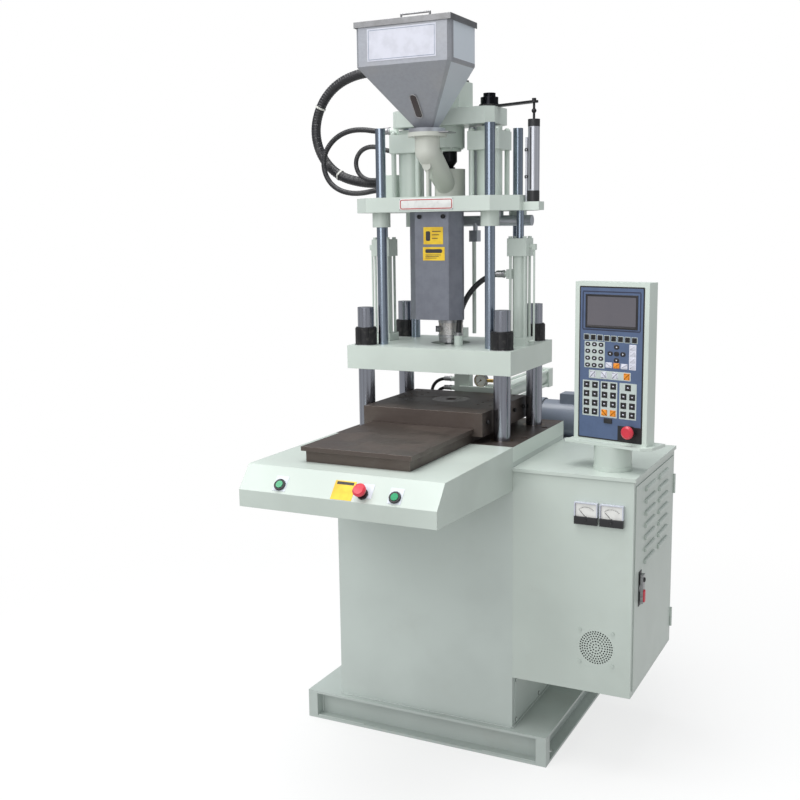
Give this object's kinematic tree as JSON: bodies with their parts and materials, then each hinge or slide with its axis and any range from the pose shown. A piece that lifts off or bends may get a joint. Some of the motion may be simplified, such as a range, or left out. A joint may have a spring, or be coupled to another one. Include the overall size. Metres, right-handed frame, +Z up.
{
  "type": "injection moulding machine",
  "caption": "Vertical injection moulding machine with tie-bar clamp, sliding lower table, hopper-fed injection unit, console and electrical cabinet.",
  "frame": {"origin": "on the floor, under the injection axis", "axes": "+Z up, -Y towards the operator's console, +X towards the electrical cabinet"},
  "size_m": [1.2058, 1.4585, 2.1394],
  "materials": {
    "bronze": "bearing bronze",
    "turned_steel": "turned steel",
    "body_paint": "satin mint-grey paint",
    "machined_steel": "ground steel",
    "light_paint": "satin pale mint-grey paint",
    "black_parts": "black oxide",
    "red_plastic": "red plastic",
    "carriage_paint": "satin pale mint paint",
    "hose_rubber": "rubber",
    "hard_chrome": "hard chrome",
    "black_plastic": "black plastic",
    "stainless": "brushed stainless",
    "membrane": "printed membrane",
    "motor_paint": "dark slate-blue paint",
    "green_plastic": "green plastic"
  },
  "bodies": {
    "frame": {"base_frame": "body_paint", "machine_body": "body_paint", "body_covers": "light_paint", "bed_plate": "machined_steel", "bar_bushes": "bronze", "console_cover": "light_paint", "button_bezels": "black_parts", "rail_plate": "machined_steel", "slide_cylinder": "turned_steel", "clamp_cylinder": "turned_steel", "cabinet_shell": "light_paint", "panel_meters": "black_plastic", "fan_frame": "black_plastic", "panel_collar": "light_paint", "oil_tank": "body_paint", "pump_motor": "motor_paint", "pressure_gauge": "black_parts", "supply_hoses": "hose_rubber"},
    "button_left": {"start_button_left": "green_plastic"},
    "button_right": {"start_button_right": "green_plastic"},
    "stop_head": {"console_stop": "red_plastic"},
    "table": {"slide_table": "machined_steel", "slide_rod": "hard_chrome"},
    "clamp": {"lower_crosshead": "machined_steel", "tie_bars": "hard_chrome", "tie_bar_nuts": "black_parts", "platen": "carriage_paint", "guide_rods": "hard_chrome", "seat_cylinders": "carriage_paint", "seat_hose": "hose_rubber"},
    "carriage": {"injection_plate": "carriage_paint", "guide_bushes": "bronze", "seat_rods": "hard_chrome", "barrel": "turned_steel", "heater_bands": "stainless", "barrel_guard": "body_paint", "feed_throat": "carriage_paint", "hopper": "stainless", "injection_cylinders": "carriage_paint", "transducer": "stainless", "carriage_fittings": "turned_steel", "motor_hose": "hose_rubber", "cylinder_hoses": "hose_rubber", "heater_cables": "hose_rubber"},
    "gate": {"slide_gate": "stainless"},
    "lid": {"hopper_lid": "stainless"},
    "crosshead": {"crosshead_beam": "carriage_paint", "injection_rods": "hard_chrome", "screw_motor": "turned_steel", "transducer_arm": "black_parts"},
    "screw": {"screw": "turned_steel"},
    "door": {"cabinet_door": "body_paint"},
    "latch": {"door_latch": "hard_chrome"},
    "meter_left": {"meter_needle_left": "black_plastic"},
    "meter_right": {"meter_needle_right": "black_plastic"},
    "fan": {"fan_rotor": "black_plastic"},
    "gauge": {"gauge_needle": "black_plastic"},
    "panel": {"control_panel": "light_paint", "keypad": "membrane"},
    "panel_stop_head": {"panel_stop": "red_plastic"}
  },
  "joints": [
    {"name": "table_slide", "type": "slide", "parent": "frame", "child": "table", "axis": [0, -1, 0], "range_m": [0, 0.38]},
    {"name": "clamp_stroke", "type": "slide", "parent": "frame", "child": "clamp", "axis": [0, 0, 1], "range_m": [0, 0.19]},
    {"name": "carriage_lift", "type": "slide", "parent": "clamp", "child": "carriage", "axis": [0, 0, 1], "range_m": [0, 0.12], "deforming": ["heater_cables"]},
    {"name": "injection_stroke", "type": "slide", "parent": "carriage", "child": "crosshead", "axis": [0, 0, 1], "range_m": [0, 0.1], "deforming": ["motor_hose"]},
    {"name": "screw_turn", "type": "hinge", "parent": "crosshead", "child": "screw", "pos_m": [0, 0, 1.894], "axis": [0, 0, 1], "continuous": true},
    {"name": "gate_slide", "type": "slide", "parent": "carriage", "child": "gate", "axis": [1, 0, 0], "range_m": [0, 0.06]},
    {"name": "lid_hinge", "type": "hinge", "parent": "carriage", "child": "lid", "pos_m": [0, -0.132, 2.103], "axis": [-1, 0, 0], "range_deg": [0, 100]},
    {"name": "left_button_press", "type": "slide", "parent": "frame", "child": "button_left", "axis": [0, 0.7682, -0.6402], "range_m": [0, 0.003], "stiffness_N_per_m": 400, "springref_m": -0.002},
    {"name": "right_button_press", "type": "slide", "parent": "frame", "child": "button_right", "axis": [0, 0.7682, -0.6402], "range_m": [0, 0.003], "stiffness_N_per_m": 400, "springref_m": -0.002},
    {"name": "console_stop_press", "type": "slide", "parent": "frame", "child": "stop_head", "axis": [0, 0.7682, -0.6402], "range_m": [0, 0.004], "stiffness_N_per_m": 800, "springref_m": -0.002},
    {"name": "door_hinge", "type": "hinge", "parent": "frame", "child": "door", "pos_m": [0.6405, 0.248, 0.545], "axis": [0, 0, 1], "range_deg": [0, 110]},
    {"name": "latch_turn", "type": "hinge", "parent": "door", "child": "latch", "pos_m": [0.636, -0.15, 0.548], "axis": [1, 0, 0], "range_deg": [-90, 0]},
    {"name": "left_meter_needle", "type": "hinge", "parent": "frame", "child": "meter_left", "pos_m": [0.505, -0.23, 0.757], "axis": [0, 1, 0], "range_deg": [0, 88]},
    {"name": "right_meter_needle", "type": "hinge", "parent": "frame", "child": "meter_right", "pos_m": [0.577, -0.23, 0.757], "axis": [0, 1, 0], "range_deg": [0, 88]},
    {"name": "gauge_needle_turn", "type": "hinge", "parent": "frame", "child": "gauge", "pos_m": [0.008, 0.218, 1.052], "axis": [0, 1, 0], "range_deg": [0, 264]},
    {"name": "fan_spin", "type": "hinge", "parent": "frame", "child": "fan", "pos_m": [0.537, -0.207, 0.382], "axis": [0, 1, 0], "continuous": true},
    {"name": "panel_swivel", "type": "hinge", "parent": "frame", "child": "panel", "pos_m": [0.548, -0.122, 0.946], "axis": [0, 0, 1], "range_deg": [-60, 80]},
    {"name": "panel_stop_press", "type": "slide", "parent": "panel", "child": "panel_stop_head", "axis": [0.2419, 0.9703, 0], "range_m": [0, 0.004], "stiffness_N_per_m": 800, "springref_m": -0.002}
  ]
}
